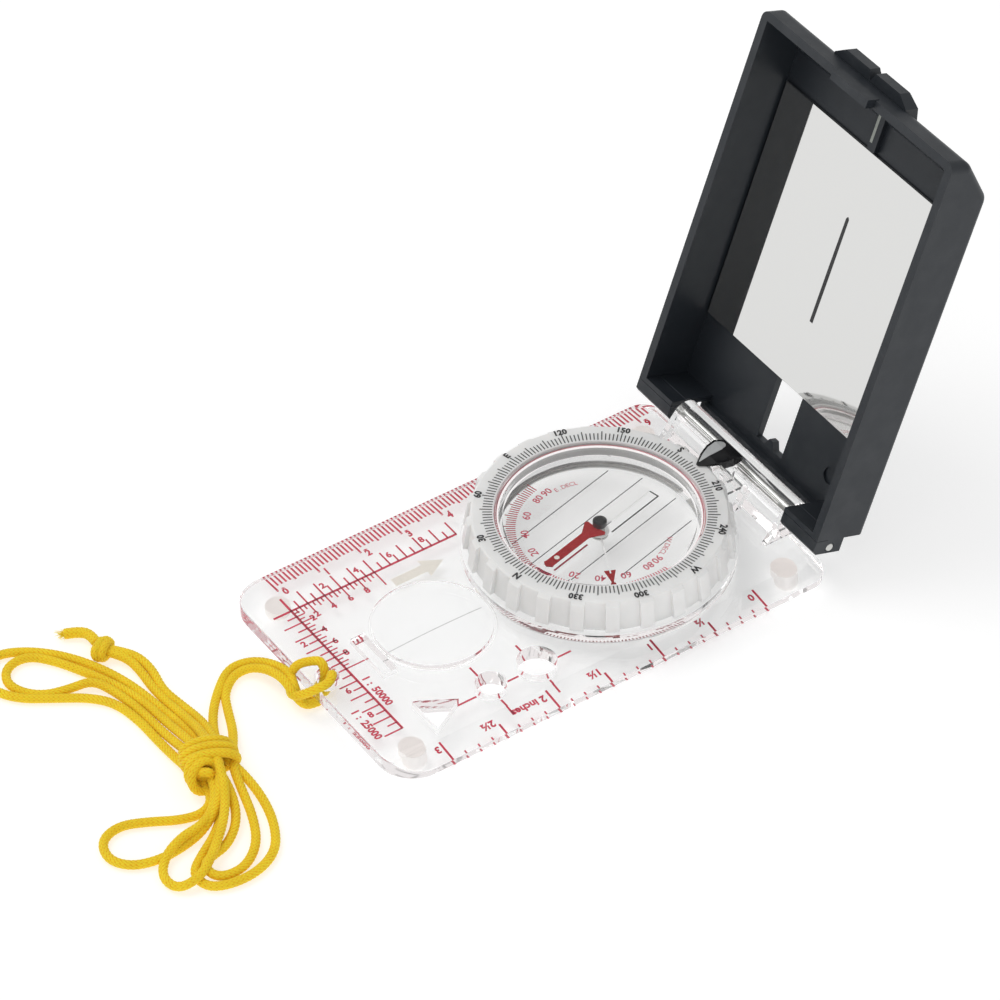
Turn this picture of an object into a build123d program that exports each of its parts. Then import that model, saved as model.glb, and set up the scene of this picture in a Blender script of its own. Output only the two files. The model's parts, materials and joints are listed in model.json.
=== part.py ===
from build123d import *

import math
import os

# Sighting compass with a clear base plate, a turning dial and a hinged mirror cover.
# Millimetres. The origin is on the dial's axis, on the surface the feet stand on.
# +Z is up, +Y runs from the lanyard end of the plate towards the cover's hinge.

# ---------------------------------------------------------------- driving dimensions
plate_half_width = 31.9
plate_rear = 34.7
plate_thickness = 3.5
front_corner_radius = 8.0
rear_corner_radius = 4.0
plate_edge_radius = 0.5
foot_height = 2.2
foot_radius = 2.6
foot_places = [(-24.0, -62.1), (24.0, -62.1), (-24.3, 28.4), (24.3, 28.4)]
metric_bevel = (6.0, 1.0)
inch_bevel = (4.8, 1.8)

lens_centre_y = -40.7
lens_radius = 12.2
lens_crown = 0.9
lens_step = 0.7
lens_groove = 0.5
template_x = 20.0
large_hole = (4.15, -29.3)
small_hole = (3.25, -40.4)
triangle_side = 9.2
triangle_base_y = -56.1
lanyard_hole = (2.5, -66.0)
catch_slot = (12.0, 3.2, 2.4, -54.9)
arrow_x = -16.3
arrow_tail_y = -39.3
arrow_tip_y = -27.2
arrow_thickness = 0.15

collar_radius = 28.2
collar_height = 2.1
dial_bore_radius = 21.7
retainer_bore = (23.6, 1.3)

bezel_gap = 0.4
bezel_height = 7.0
bezel_inner_radius = 21.45
bezel_foot_radius = 26.9
bezel_top_radius = 26.2
grip_rib_count = 24
grip_rib_width = 2.8
grip_rib_depth = 0.9

capsule_radius = 21.4
capsule_wall = 0.9
capsule_floor = 1.2
lid_thickness = 1.5
lid_below_bezel = 0.3
lid_skirt = (0.8, 2.4)
scale_disc_level = 4.1
scale_disc_thickness = 0.4

needle_angle = -76.4
needle_north_length = 16.4
needle_south_length = 14.5
needle_width = 2.0
needle_level = 6.4
blade_thickness = 0.3
hub_radius = 1.45
lume_dot = (0.55, 13.1)
clinometer_angle = -25.3
clinometer_level = 3.1
clinometer_eye_radius = 2.0
clinometer_arm_end = 12.7
clinometer_arm_half_width = 0.15
shoulder_radius = 1.1
pivot_radius = 0.3

hinge_y = 35.2
hinge_z = 10.2
pin_radius = 1.0
pin_clearance = 0.05
barrel_radius = 3.2
barrel_half_length = 19.0
lug_gap = 0.4
leg_top_z = 14.4
pointer_low_z = 15.45

cover_angle = 71.2
cover_half_width = 30.46
cover_wall = 1.93
cover_rim = 4.28
cover_back = 8.5
cover_back_thickness = 1.65
cover_top = 90.5
cover_chamfer_start = 82.0
cover_chamfer_end = -0.3
cover_foot = 2.0
cover_corner_radius = 1.4
cover_bend_radius = 3.0
cover_plan_radius = 2.0
chin_low = -0.15
chin_high = 1.2
chin_face = -5.2
window_half_width = 4.2
window_span = (3.1, 19.5)
ear_height = 2.3
ear_reach = 11.35
ear_centre = -0.95
dimple = (1.85, 18.1, 8.2)
dimple_depth = 0.5
mirror_half_width = 28.0
mirror_low = 18.4
mirror_high = 74.2
mirror_thickness = 0.5
tape_thickness = 0.2

cord_radius = 1.0

# ---------------------------------------------------------------- derived levels
plate_low = foot_height
plate_top = plate_low + plate_thickness
collar_top = plate_top + collar_height
bezel_low = collar_top + bezel_gap
bezel_top = bezel_low + bezel_height
lid_top = bezel_top - lid_below_bezel
cup_low = plate_low + 0.2
floor_top = cup_low + capsule_floor
mirror_face = cover_back - cover_back_thickness - mirror_thickness - tape_thickness
cover_angle_rad = math.radians(cover_angle)
rest_reach = (
    hinge_y
    + cover_chamfer_start * math.cos(cover_angle_rad)
    + cover_back * math.sin(cover_angle_rad)
)
plate_front = -rest_reach


# ---------------------------------------------------------------- helpers
def block(x, y, z):
    """A box from (low, high) pairs."""
    size = [high - low for low, high in (x, y, z)]
    middle = [(high + low) / 2 for low, high in (x, y, z)]
    return Pos(*middle) * Box(*size)


def drum(radius, z_low, z_high, x=0.0, y=0.0):
    """An upright cylinder."""
    return Pos(x, y, (z_low + z_high) / 2) * Cylinder(radius, z_high - z_low)


def tube_ring(outer, inner, z_low, z_high):
    """An upright ring."""
    return drum(outer, z_low, z_high) - drum(inner, z_low - 1, z_high + 1)


def prism_x(points, x_low, x_high):
    """A (y, z) outline drawn out along X."""
    face = make_face(Plane.YZ * Polyline(*points, close=True))
    return Pos(x_low, 0, 0) * extrude(face, x_high - x_low, dir=(1, 0, 0))


def prism_z(points, z_low, z_high):
    """An (x, y) outline drawn out upwards."""
    face = make_face(Polyline(*points, close=True))
    return Pos(0, 0, z_low) * extrude(face, z_high - z_low, dir=(0, 0, 1))


def revolved(points):
    """A (radius, z) outline turned about the dial's axis."""
    face = make_face(Plane.XZ * Polyline(*points, close=True))
    return revolve(face, Axis.Z)


def mirrored(points):
    """An outline given by its +X half from front to back, completed on the -X side."""
    return points + [(-x, y) for x, y in reversed(points) if x > 0]


# ---------------------------------------------------------------- base
def plate_blank():
    outline = make_face(
        Polyline(
            (-plate_half_width, plate_front),
            (plate_half_width, plate_front),
            (plate_half_width, plate_rear),
            (-plate_half_width, plate_rear),
            close=True,
        )
    )
    corners = outline.vertices().sort_by(Axis.Y)
    outline = fillet(corners[:2], front_corner_radius)
    corners = outline.vertices().sort_by(Axis.Y)
    outline = fillet(corners[-2:], rear_corner_radius)
    blank = Pos(0, 0, plate_low) * extrude(outline, plate_thickness, dir=(0, 0, 1))
    rims = blank.edges().group_by(Axis.Z)
    return fillet(rims[0] + rims[-1], plate_edge_radius)


def bevel_cutters():
    """Long wedges that thin the plate towards its two ruler edges."""
    for side, (width, drop) in ((-1, metric_bevel), (1, inch_bevel)):
        edge = side * (plate_half_width + 1)
        inner = side * (plate_half_width - width)
        low = plate_top - drop * (width + 1) / width
        corners = [(inner, plate_top), (edge, low), (edge, plate_top + 1), (inner, plate_top + 1)]
        wedge = make_face(Plane.XZ * Polyline(*corners, close=True))
        yield extrude(wedge, 200, both=True)


def magnifier_lens():
    """A round boss with a low step at its edge and a domed face."""
    ball_radius = (lens_radius**2 + lens_crown**2) / (2 * lens_crown)
    crown_z = plate_top + lens_step + lens_crown
    ball = Pos(0, lens_centre_y, crown_z - ball_radius) * Sphere(ball_radius)
    return ball & drum(lens_radius, plate_top - 0.5, crown_z + 1, 0, lens_centre_y)


def triangle_hole():
    height = triangle_side * math.sqrt(3) / 2
    corners = [
        (template_x - triangle_side / 2, triangle_base_y),
        (template_x + triangle_side / 2, triangle_base_y),
        (template_x, triangle_base_y + height),
    ]
    return prism_z(corners, plate_low - 1, plate_top + 1)


def hinge_carrier():
    """The moulded ramps, gussets and legs that carry the hinge barrel and the index pointer."""
    low = plate_top - 0.2
    ramp = [(30.4, low), (plate_rear, low), (36.2, 7.6), (hinge_y, hinge_z), (32.4, 11.4)]
    gusset = [(27.6, low), (plate_rear, low), (hinge_y, hinge_z), (33.6, 12.9), (32.2, 11.6)]
    inner_gusset = [(28.8, low), (plate_rear, low), (hinge_y, hinge_z), (32.6, 11.8)]
    leg = [(29.2, low), (plate_rear, low), (hinge_y, hinge_z), (33.2, leg_top_z), (29.2, leg_top_z)]
    end = barrel_half_length
    carrier = Pos(0, hinge_y, hinge_z) * (Rot(0, 90, 0) * Cylinder(barrel_radius, 2 * end))
    for side in (-1, 1):
        spans = (
            (ramp, 6.0, end),
            (gusset, end - 1.2, end),
            (inner_gusset, 5.8, 7.2),
            (leg, 1.2, 2.4),
        )
        for outline, near, far in spans:
            x_low, x_high = sorted((side * near, side * far))
            carrier += prism_x(outline, x_low, x_high)
    groove = Pos(0, hinge_y - 2.5, hinge_z + 3.0) * (Rot(0, 90, 0) * Cylinder(0.8, 2 * end - 6))
    return carrier - groove


def base_plate():
    body = plate_blank()
    for wedge in bevel_cutters():
        body -= wedge
    body += drum(collar_radius, plate_top - 0.2, collar_top)
    body += magnifier_lens()
    body -= Pos(0, lens_centre_y, plate_top) * Torus(lens_radius + lens_groove, lens_groove / 2)
    body += hinge_carrier()
    body -= drum(dial_bore_radius, plate_low - 1, collar_top + 1)
    body -= drum(retainer_bore[0], plate_low - 1, plate_low + retainer_bore[1])
    for radius, y in (large_hole, small_hole):
        body -= drum(radius, plate_low - 1, plate_top + 1, template_x, y)
    body -= triangle_hole()
    body -= drum(lanyard_hole[0], plate_low - 1, plate_top + 1, 0, lanyard_hole[1])
    width, length, depth, middle = catch_slot
    body -= block(
        (-width / 2, width / 2),
        (middle - length / 2, middle + length / 2),
        (plate_top - depth, plate_top + 1),
    )
    bore = Pos(0, hinge_y, hinge_z) * (Rot(0, 90, 0) * Cylinder(pin_radius + pin_clearance, 50))
    return body - bore


def rubber_feet():
    feet = []
    for x, y in foot_places:
        foot = drum(foot_radius, 0, foot_height, x, y)
        feet.append(fillet(foot.edges().sort_by(Axis.Z)[0], 0.7))
    return Compound(children=feet)


def travel_arrow():
    """A flat luminous arrow bonded under the plate, pointing at the dial."""
    head = arrow_tip_y - 4.6
    outline = [
        (arrow_x - 1.15, arrow_tail_y),
        (arrow_x + 1.15, arrow_tail_y),
        (arrow_x + 1.15, head),
        (arrow_x + 2.6, head),
        (arrow_x, arrow_tip_y),
        (arrow_x - 2.6, head),
        (arrow_x - 1.15, head),
    ]
    return prism_z(outline, plate_low - arrow_thickness, plate_low)


def index_pointer():
    """The black reading index: its tip hangs over the bezel's degree ring."""
    side = [
        (24.2, pointer_low_z),
        (28.3, pointer_low_z),
        (28.9, leg_top_z),
        (33.2, leg_top_z),
        (33.5, 15.4),
        (31.0, 16.3),
        (27.5, 16.2),
        (24.2, 15.65),
    ]
    plan = mirrored([(0.25, 24.2), (1.9, 26.4), (3.1, 28.9), (3.5, 31.0), (3.2, 33.5)])
    return prism_x(side, -5, 5) & prism_z(plan, 10, 20)


# ---------------------------------------------------------------- dial
def bezel_ring():
    web = 1.5
    groove_inner = bezel_inner_radius + 1.4
    body = revolved(
        [
            (bezel_inner_radius, bezel_low),
            (groove_inner, bezel_low),
            (groove_inner, bezel_top - web),
            (bezel_top_radius - 1.4, bezel_top - web),
            (bezel_foot_radius - 1.4, bezel_low),
            (bezel_foot_radius, bezel_low),
            (bezel_top_radius, bezel_top - 0.4),
            (bezel_top_radius - 0.4, bezel_top),
            (bezel_inner_radius, bezel_top),
        ]
    )
    sweep = revolved(
        [
            (bezel_top_radius - 1.0, bezel_low),
            (bezel_foot_radius + grip_rib_depth, bezel_low),
            (bezel_foot_radius + grip_rib_depth, bezel_low + 0.6),
            (bezel_top_radius + grip_rib_depth - 0.1, bezel_top - 0.9),
            (bezel_top_radius, bezel_top - 0.3),
            (bezel_top_radius - 1.0, bezel_top - 0.3),
        ]
    )
    half = grip_rib_width / 2
    for index in range(grip_rib_count):
        slab = block((20, 30), (-half, half), (bezel_low, bezel_top))
        body += sweep & (Rot(0, 0, index * 360 / grip_rib_count) * slab)
    return body


def bezel_retainer():
    """A split snap ring under the plate that keeps the dial in its bore."""
    ring = tube_ring(23.2, capsule_radius - 0.8, cup_low + 0.1, plate_low + 1.0)
    return ring - block((-1.5, 1.5), (15, 30), (0, 10))


def capsule_cup():
    body = drum(capsule_radius, plate_low + 1.0, lid_top - lid_thickness)
    body += drum(capsule_radius - 0.8, cup_low, plate_low + 1.1)
    body -= drum(capsule_radius - capsule_wall, floor_top, lid_top)
    return body


def capsule_lid():
    seat = lid_top - lid_thickness
    lid = drum(capsule_radius, seat, lid_top)
    lid = chamfer(lid.edges().sort_by(Axis.Z)[-1], 0.4)
    width, depth = lid_skirt
    inside = capsule_radius - capsule_wall
    return lid + tube_ring(inside, inside - width, seat - depth, seat)


def scale_disc():
    """The clear disc over the clinometer that carries its printed scale."""
    low = plate_low + scale_disc_level
    return tube_ring(capsule_radius - capsule_wall, shoulder_radius + 0.5, low, low + scale_disc_thickness)


def pivot_pin():
    """The steel point that the needle balances on, with the shoulder that carries the clinometer."""
    tip = plate_low + needle_level + 1.5
    return revolved(
        [
            (0, floor_top),
            (1.8, floor_top),
            (1.8, floor_top + 0.4),
            (shoulder_radius, floor_top + 0.4),
            (shoulder_radius, plate_low + clinometer_level + 0.7),
            (pivot_radius, plate_low + clinometer_level + 1.2),
            (pivot_radius, tip - 0.3),
            (0, tip),
        ]
    )


def jewel_cup():
    """The bearing cup that sits on the pivot's point."""
    low = plate_low + needle_level + 0.3
    cup = drum(0.7, low, low + 1.9)
    return cup - drum(0.38, low - 1, low + 1.3)


def needle_hub_cap():
    low = plate_low + needle_level + 0.3
    cap = drum(hub_radius, low, low + 2.6)
    cap = chamfer(cap.edges().sort_by(Axis.Z)[-1], 0.5)
    return cap - drum(0.7, low - 1, low + 1.9)


def needle_magnet():
    low = plate_low + needle_level - 0.9
    bar = block((-2.6, 2.6), (-0.9, 0.9), (low, plate_low + needle_level))
    return Rot(0, 0, needle_angle) * (bar - drum(0.5, low - 1, low + 5))


def needle_half(outline):
    low = plate_low + needle_level
    blade = prism_z(outline, low, low + blade_thickness) - drum(0.5, low - 1, low + 1)
    return Rot(0, 0, needle_angle) * blade


def needle_north():
    """The red half, with a fishtail behind the hub and a blunt point."""
    half = needle_width / 2
    tip = needle_north_length
    point = [(tip, 0.15), (tip - 0.7, half + 0.15), (tip - 1.3, half)]
    fishtail = [(4.4, half), (1.5, 2.7), (0.9, 2.3), (1.2, 0)]
    upper = point + fishtail
    lower = [(x, -y) for x, y in reversed(upper) if y > 0]
    return needle_half(upper + lower) - Rot(0, 0, needle_angle) * lume_dot_disc()


def needle_south():
    half = needle_width / 2
    tail = -needle_south_length
    return needle_half([(tail, -half), (0.85, -half), (0.85, half), (tail, half)])


def lume_dot_disc():
    radius, reach = lume_dot
    level = plate_low + needle_level
    return drum(radius, level - 1, level + 1, reach)


def needle_lume_dot():
    radius, reach = lume_dot
    level = plate_low + needle_level
    return Rot(0, 0, needle_angle) * drum(radius, level, level + blade_thickness + 0.05, reach)


def clinometer_arm():
    """A free-swinging eye and stem on the pivot's shoulder."""
    low = plate_low + clinometer_level
    eye = drum(clinometer_eye_radius, low, low + 0.5)
    half = clinometer_arm_half_width
    arm = eye + block((1.5, clinometer_arm_end), (-half, half), (low, low + blade_thickness))
    return Rot(0, 0, clinometer_angle) * (arm - drum(shoulder_radius + 0.06, low - 1, low + 1))


def clinometer_pointer():
    low = plate_low + clinometer_level
    upper = [(11.8, 1.2), (14.9, 0.28), (15.4, 0.28), (16.3, 0.6)]
    outline = upper + [(x, -y) for x, y in reversed(upper)]
    half = clinometer_arm_half_width
    notch = block((10, clinometer_arm_end), (-half, half), (0, 20))
    pointer = prism_z(outline, low, low + blade_thickness) - notch
    return Rot(0, 0, clinometer_angle) * pointer


# ---------------------------------------------------------------- cover, in its own frame
# x across, y away from the hinge axis, z towards the cover's open side.
def at_rest(shape):
    """Carry a cover part from the cover's frame to where the cover stands open."""
    return Pos(0, hinge_y, hinge_z) * (Rot(cover_angle, 0, 0) * shape)


def cover_shell():
    section = [
        (cover_foot, -cover_back),
        (cover_chamfer_start, -cover_back),
        (cover_top, cover_chamfer_end),
        (cover_top, cover_rim),
        (cover_foot, cover_rim),
    ]
    shell = prism_x(section, -cover_half_width, cover_half_width)
    bends = shell.edges().filter_by(Axis.X).sort_by(Axis.Y)
    bends = [edge for edge in bends if edge.center().Y > cover_foot + 1 and edge.center().Z < cover_rim - 1]
    shell = fillet(bends, cover_bend_radius)
    plan = Rectangle(2 * cover_half_width, 2 * cover_top)
    plan = fillet(plan.vertices().group_by(Axis.Y)[-1], cover_plan_radius)
    shell &= Pos(0, 0, -20) * extrude(plan, 40, dir=(0, 0, 1))
    long_edges = shell.edges().filter_by(Axis.Y)
    shell = fillet(long_edges.group_by(Axis.Z)[0], cover_corner_radius)
    inner = cover_half_width - cover_wall
    floor = -cover_back + cover_back_thickness
    top = cover_top - cover_wall
    slope_start = cover_chamfer_start - 0.8
    slope_end = floor + (top - slope_start)
    cavity = [
        (window_span[0], floor),
        (slope_start, floor),
        (top, slope_end),
        (top, cover_rim + 1),
        (window_span[0], cover_rim + 1),
    ]
    return shell - prism_x(cavity, -inner, inner)


def chin():
    """The lip of the cover's back that closes the gap behind the barrel."""
    lip = [
        (chin_low, -cover_back),
        (chin_low, chin_face),
        (chin_high, chin_face),
        (chin_high, -cover_back + cover_back_thickness),
        (cover_foot + 1, -cover_back + cover_back_thickness),
        (cover_foot + 1, -cover_back),
    ]
    reach = barrel_half_length + lug_gap + 1
    return prism_x(lip, -reach, reach)


def hinge_block():
    """The cheeks either side of the barrel that hold the pin's two ends."""
    cheek = [
        (-1.3, -3.1),
        (3.2, -3.1),
        (3.2, 0.5),
        (1.9, 1.2),
        (1.9, cover_rim),
        (-0.4, cover_rim),
        (-1.3, 3.4),
    ]
    near = barrel_half_length + lug_gap
    cheeks = prism_x(cheek, near, cover_half_width)
    return cheeks + prism_x(cheek, -cover_half_width, -near)


def sight_ears():
    """Two small ears with a sighting notch between them."""
    ear = [(0, 0.2), (1.0, ear_height), (ear_reach - 2.8, ear_height), (ear_reach, 0.3), (ear_reach, -3)]
    outline = [(-x, y) for x, y in reversed(ear)] + ear[1:]
    face = make_face(Polyline(*outline, close=True))
    ears = Pos(ear_centre, cover_top, -4.6) * extrude(face, 4.9, dir=(0, 0, 1))
    slope = [
        (cover_top - 4, -9),
        (cover_top + 6, -9),
        (cover_top + 6, -0.4),
        (cover_top + 2.4, -2.4),
        (cover_top - 4, -4.4),
    ]
    return ears - prism_x(slope, -20, 20)


def mirror_cover():
    body = cover_shell() + hinge_block()
    near = barrel_half_length + lug_gap
    floor = -cover_back + cover_back_thickness
    body -= block((-near, near), (-5, 3.15), (floor, cover_rim + 1))
    body += chin()
    body += sight_ears()
    body += block((-5.7, 5.7), (cover_top - cover_wall + 0.3, cover_top + 0.2), (cover_rim - 1, 6.35))
    body += block((-1.1, 1.1), (mirror_high + 0.4, cover_top - 1), (floor - 0.5, floor + 1.2))
    window = block((-window_half_width, window_half_width), window_span, (-20, 0))
    tooth = make_face(Polyline((-1.6, 3.0), (1.6, 3.0), (0.6, 4.8), (-0.6, 4.8), close=True))
    tooth = Pos(0, 0, -cover_back) * extrude(tooth, cover_back_thickness, dir=(0, 0, 1))
    body -= window
    body += tooth
    radius, x, y = dimple
    body -= Pos(x, y, floor) * Cylinder(radius, 2 * dimple_depth)
    pin_hole = Rot(0, 90, 0) * Cylinder(pin_radius, 2 * cover_half_width + 2)
    return at_rest(body - pin_hole)


def mirror():
    glass = block(
        (-mirror_half_width, mirror_half_width),
        (mirror_low, mirror_high),
        (-mirror_face - mirror_thickness, -mirror_face),
    )
    return at_rest(chamfer(glass.edges().group_by(Axis.Z)[-1], 0.15))


def mirror_tape():
    low = -cover_back + cover_back_thickness
    tape = block(
        (-mirror_half_width + 2, mirror_half_width - 2),
        (mirror_low + 2, mirror_high - 1.6),
        (low, low + tape_thickness),
    )
    return at_rest(tape)


def hinge_pin():
    pin = Rot(0, 90, 0) * Cylinder(pin_radius, 2 * cover_half_width)
    return at_rest(chamfer(pin.edges(), 0.2))


# ---------------------------------------------------------------- lanyard
# One braided cord, doubled: its bight is hitched through the plate's front hole.
ring_route = [
    (-1.05, -66.0, 4.0),
    (-1.3, -66.1, 6.6),
    (-3.4, -67.2, 7.6),
    (-4.9, -69.6, 7.0),
    (-5.5, -71.6, 4.6),
    (-5.2, -73.2, 2.0),
    (-3.0, -74.6, 1.4),
    (-0.2, -74.6, 2.8),
    (1.9, -72.9, 5.2),
    (2.9, -70.2, 7.2),
    (2.6, -67.6, 7.6),
    (1.3, -66.1, 6.6),
    (1.05, -66.0, 4.0),
]
lead_left_route = [
    (-1.05, -66.0, 4.0),
    (-1.05, -66.2, 1.6),
    (-1.1, -68.4, 1.05),
    (-1.3, -70.9, 1.3),
    (-2.2, -72.2, 3.6),
    (-4.6, -72.0, 5.0),
    (-7.6, -71.4, 4.2),
    (-11.6, -70.9, 1.9),
    (-15.6, -72.8, 1.1),
    (-17.0, -77.4, 1.1),
    (-14.4, -82.4, 1.1),
    (-10.2, -86.6, 1.2),
    (-5.2, -90.2, 1.8),
    (0.4, -93.0, 3.0),
]
lead_right_route = [
    (1.05, -66.0, 4.0),
    (1.05, -66.2, 1.6),
    (1.0, -68.4, 1.05),
    (0.9, -71.2, 1.2),
    (0.0, -73.4, 3.2),
    (-2.6, -74.6, 4.9),
    (-6.2, -74.0, 4.2),
    (-10.2, -73.0, 1.9),
    (-13.4, -75.0, 1.1),
    (-13.8, -79.4, 1.1),
    (-10.6, -83.4, 1.1),
    (-5.6, -86.2, 1.1),
    (0.2, -88.4, 1.4),
    (4.6, -91.6, 2.6),
]
tail_route = [(-36.6, -96.7, 2.0), (-39.6, -96.6, 1.8), (-42.2, -98.2, 1.3), (-44.0, -100.6, 1.1)]
knot_place = (5.6, -96.6)
end_knot_place = (-34.6, -96.2)
upper_hank_outline = [
    (2.0, -90.5),
    (-8.0, -89.9),
    (-22.0, -90.4),
    (-31.6, -91.6),
    (-33.4, -98.4),
    (-40.0, -104.0),
    (-45.8, -111.0),
    (-45.6, -117.6),
    (-40.0, -120.8),
    (-33.2, -119.6),
    (-27.4, -111.0),
    (-20.6, -103.4),
    (-8.4, -102.8),
    (4.0, -103.2),
]
lower_hank_outline = [
    (8.0, -90.6),
    (20.0, -91.8),
    (30.8, -97.2),
    (34.4, -104.0),
    (33.4, -112.6),
    (29.8, -119.6),
    (21.6, -121.0),
    (15.2, -125.8),
    (9.2, -124.6),
    (7.0, -118.0),
    (10.6, -108.6),
    (9.4, -101.0),
]
hank_height = 4.2


def corner_radii(route):
    """Each corner's arc is as large as the two runs beside it allow."""
    points = [Vector(*place) for place in route]
    radii = []
    for before, corner, after in zip(points, points[1:], points[2:]):
        turn = math.radians((corner - before).get_angle(after - corner))
        shorter = min((corner - before).length, (after - corner).length)
        radii.append(0.45 * shorter / math.tan(turn / 2))
    return radii


def cord_tube(route, name):
    radii = corner_radii(route)
    path = FilletPolyline(*route, radius=radii)
    start = Plane(origin=path @ 0, z_dir=path % 0)
    tube = sweep(start * Circle(cord_radius), path)
    expected = math.pi * cord_radius**2 * path.length
    print(name, "length", round(path.length, 1), "volume ratio", round(tube.volume / expected, 4))
    print("  radii", [round(radius, 1) for radius in radii])
    return tube


def knot_solid():
    body = drum(6.3, 0, 8.4, *knot_place)
    body = fillet(body.edges().group_by(Axis.Z)[-1], 3.2)
    return fillet(body.edges().group_by(Axis.Z)[0], 1.4)


def hank_solid(outline):
    face = make_face(Polyline(*outline, close=True))
    face = fillet(face.vertices(), 1.6)
    return extrude(face, hank_height, dir=(0, 0, 1)) - knot_solid()


def end_knot_solid():
    body = drum(3.0, 0, 5.0, *end_knot_place)
    return fillet(body.edges().group_by(Axis.Z)[-1], 1.6)


lanyard = {
    "lanyard_hitch": cord_tube(ring_route, "ring"),
    "lanyard_lead_left": cord_tube(lead_left_route, "left lead") - knot_solid(),
    "lanyard_lead_right": cord_tube(lead_right_route, "right lead") - knot_solid(),
    "lanyard_knot": knot_solid(),
    "lanyard_upper_hank": hank_solid(upper_hank_outline) - end_knot_solid(),
    "lanyard_lower_hank": hank_solid(lower_hank_outline),
    "lanyard_end_knot": end_knot_solid(),
    "lanyard_tail": cord_tube(tail_route, "tail") - end_knot_solid(),
}

parts = {
    "base_plate": base_plate(),
    "rubber_feet": rubber_feet(),
    "travel_arrow": travel_arrow(),
    "index_pointer": index_pointer(),
    "bezel_ring": bezel_ring(),
    "bezel_retainer": bezel_retainer(),
    "capsule_cup": capsule_cup(),
    "capsule_lid": capsule_lid(),
    "scale_disc": scale_disc(),
    "pivot_pin": pivot_pin(),
    "jewel_cup": jewel_cup(),
    "needle_hub_cap": needle_hub_cap(),
    "needle_magnet": needle_magnet(),
    "needle_north": needle_north(),
    "needle_south": needle_south(),
    "needle_lume_dot": needle_lume_dot(),
    "clinometer_arm": clinometer_arm(),
    "clinometer_pointer": clinometer_pointer(),
    "mirror_cover": mirror_cover(),
    "mirror": mirror(),
    "mirror_tape": mirror_tape(),
    "hinge_pin": hinge_pin(),
    **lanyard,
}

os.makedirs("parts", exist_ok=True)
for name, shape in parts.items():
    export_step(shape, f"parts/{name}.step")
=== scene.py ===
import json
import math
import random

import bpy
import bmesh
from mathutils import Matrix, Vector
from mathutils.bvhtree import BVHTree


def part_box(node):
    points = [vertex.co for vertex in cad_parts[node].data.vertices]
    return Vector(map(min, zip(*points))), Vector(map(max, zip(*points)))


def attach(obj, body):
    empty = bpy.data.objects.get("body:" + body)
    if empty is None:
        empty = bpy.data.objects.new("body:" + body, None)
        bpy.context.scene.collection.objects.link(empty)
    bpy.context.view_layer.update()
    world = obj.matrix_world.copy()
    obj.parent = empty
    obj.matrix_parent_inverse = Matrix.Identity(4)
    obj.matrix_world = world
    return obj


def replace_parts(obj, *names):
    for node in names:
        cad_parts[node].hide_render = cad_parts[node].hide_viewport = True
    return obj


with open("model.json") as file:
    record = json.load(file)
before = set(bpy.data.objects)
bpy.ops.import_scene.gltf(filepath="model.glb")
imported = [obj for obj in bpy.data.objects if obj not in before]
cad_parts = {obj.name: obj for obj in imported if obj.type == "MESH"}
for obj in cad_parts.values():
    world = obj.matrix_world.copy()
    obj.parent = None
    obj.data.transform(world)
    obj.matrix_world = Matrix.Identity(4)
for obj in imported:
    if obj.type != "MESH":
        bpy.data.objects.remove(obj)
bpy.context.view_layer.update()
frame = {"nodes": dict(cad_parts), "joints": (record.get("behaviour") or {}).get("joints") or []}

NODES = frame["nodes"]
MM = 0.001


# ================================================================ places, from the frame, in metres
def joint(name):
    return next(j for j in frame["joints"] if j["name"] == name)


# The cover hinge turns from lying open flat, its lower end, to shut over the dial.
HINGE = Vector(joint("cover_hinge")["pos_m"])
COVER_ANGLE = math.radians(-joint("cover_hinge")["range_deg"][0])
PLATE_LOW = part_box("rubber_feet")[1].z
BEZEL_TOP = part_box("bezel_ring")[1].z
CUP_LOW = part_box("capsule_cup")[0].z
CUP_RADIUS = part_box("capsule_cup")[1].x
FLOOR_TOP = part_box("pivot_pin")[0].z
LID_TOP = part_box("capsule_lid")[1].z
SCALE_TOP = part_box("scale_disc")[1].z

# The plate's printing lies this little inside its lower face, so that it shows through the plate.
PLATE_PRINT = PLATE_LOW + 0.01 * MM
# The dial's printing is turned so that its N is at this angle from the dial's +X.
NORTH = math.radians(-76.4)
DIAL_TURN = NORTH - math.pi / 2
# The cover's faces that carry printing, in millimetres above the hinge line of the cover lying flat.
RIB_TOP = -5.65
MIRROR_FACE = -6.15
# How strongly the clear plastic, and the liquid in the capsule, bend light.
CLEAR_IOR = 1.49


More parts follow.
